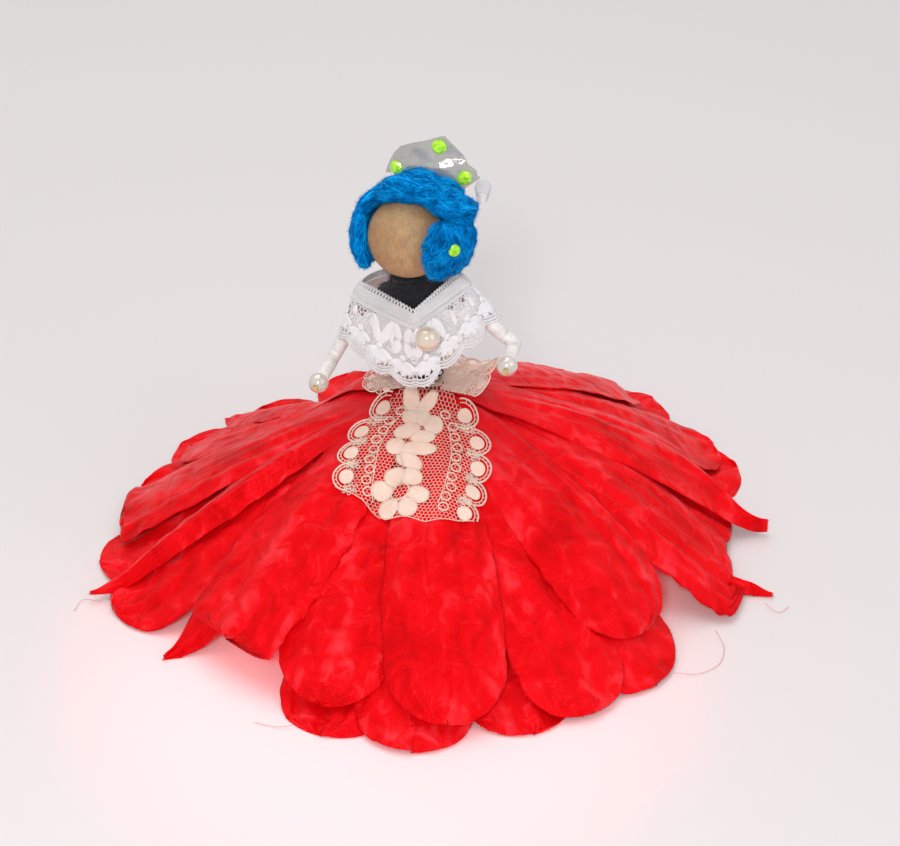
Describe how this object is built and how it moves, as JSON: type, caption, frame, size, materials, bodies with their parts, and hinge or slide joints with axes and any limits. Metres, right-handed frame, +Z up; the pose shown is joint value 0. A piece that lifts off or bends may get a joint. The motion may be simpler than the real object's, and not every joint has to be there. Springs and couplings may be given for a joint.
{
  "type": "bead doll in a petal gown",
  "caption": "Standing craft doll with a wooden bead head, floss hair and crown, lace shawl and apron, wire arms, and a wide gown of red fabric flower petals.",
  "frame": {"origin": "middle of the stand disc's underside, on the stem's axis, on the surface the doll stands on", "axes": "+Z up along the stem; the doll faces -Y; +X is the doll's left"},
  "size_m": [0.1654, 0.1641, 0.1128],
  "materials": {
    "stand_card": "matte",
    "stem_steel": "satin",
    "red_satin": "satin",
    "white_plastic": "matte",
    "green_plastic": "satin",
    "cream_lace": "matte",
    "cream_thread": "matte",
    "black_chenille": "matte",
    "white_lace": "satin",
    "white_floss": "satin",
    "pearl": "gloss",
    "gold_wire": "polished",
    "bare_wood": "matte",
    "blue_floss": "satin",
    "clear_film": "polished",
    "green_stone": "gloss"
  },
  "bodies": {
    "gown": {"stand_disc": "stand_card", "lower_stem": "stem_steel", "whorl_nut": "green_plastic", "petal_whorl_1": "red_satin", "petal_whorl_2": "red_satin", "petal_whorl_3": "red_satin", "petal_whorl_4": "red_satin", "whorl_spacer_1": "white_plastic", "whorl_spacer_2": "white_plastic", "whorl_spacer_3": "white_plastic", "waist_lace": "cream_lace", "lace_apron": "cream_lace", "waist_thread": "cream_thread"},
    "waist": {"waist_link": "stem_steel", "waist_wrap": "black_chenille"},
    "torso": {"upper_stem": "stem_steel", "bodice_wrap": "black_chenille", "shoulder_wrap": "black_chenille", "arm_wire": "gold_wire", "left_shoulder_sleeve": "white_floss", "right_shoulder_sleeve": "white_floss", "lace_shawl": "white_lace", "shawl_pearl": "pearl", "pearl_pin": "stem_steel"},
    "neck": {"neck_wire": "stem_steel", "neck_collar": "black_chenille"},
    "head": {"head_bead": "bare_wood", "hair_cap": "blue_floss", "hair_roll": "blue_floss", "left_hair_bun": "blue_floss", "right_hair_bun": "blue_floss", "crown_band": "clear_film", "crown_gem_left": "green_stone", "crown_gem_top": "green_stone", "crown_gem_right": "green_stone", "left_bun_gem": "green_stone", "right_bun_gem": "green_stone"},
    "left_upper_arm": {"left_upper_wire": "gold_wire", "left_upper_sleeve": "white_floss"},
    "left_forearm": {"left_forearm_wire": "gold_wire", "left_forearm_sleeve": "white_floss", "left_hand_bead": "pearl"},
    "right_upper_arm": {"right_upper_wire": "gold_wire", "right_upper_sleeve": "white_floss"},
    "right_forearm": {"right_forearm_wire": "gold_wire", "right_forearm_sleeve": "white_floss", "right_hand_bead": "pearl"}
  },
  "joints": [
    {"name": "waist_lean", "type": "hinge", "parent": "gown", "child": "waist", "pos_m": [0, 0, 0.0465], "axis": [0, 1, 0], "range_deg": [-5, 16]},
    {"name": "waist_bend", "type": "hinge", "parent": "waist", "child": "torso", "pos_m": [-0.00076, 0, 0.05043], "axis": [0.9816, 0, 0.1908], "range_deg": [-10, 14]},
    {"name": "neck_nod", "type": "hinge", "parent": "torso", "child": "neck", "pos_m": [-0.00572, 0, 0.07595], "axis": [0.9994, 0, -0.0349], "range_deg": [-7, 12]},
    {"name": "head_turn", "type": "hinge", "parent": "neck", "child": "head", "pos_m": [-0.00532, 0, 0.08744], "axis": [0.0349, 0, 0.9994], "range_deg": [-40, 68]},
    {"name": "left_arm_raise", "type": "hinge", "parent": "torso", "child": "left_upper_arm", "pos_m": [0.01515, -0.0015, 0.06554], "axis": [0, -1, 0], "range_deg": [-15, 40]},
    {"name": "left_elbow_bend", "type": "hinge", "parent": "left_upper_arm", "child": "left_forearm", "pos_m": [0.02105, -0.0039, 0.06241], "axis": [-0.9816, 0, -0.1908], "range_deg": [-45, 28]},
    {"name": "right_arm_raise", "type": "hinge", "parent": "torso", "child": "right_upper_arm", "pos_m": [-0.02117, -0.0015, 0.05848], "axis": [0, 1, 0], "range_deg": [-15, 40]},
    {"name": "right_elbow_bend", "type": "hinge", "parent": "right_upper_arm", "child": "right_forearm", "pos_m": [-0.02411, -0.0039, 0.05248], "axis": [-0.9063, 0, -0.4226], "range_deg": [-45, 28]}
  ]
}
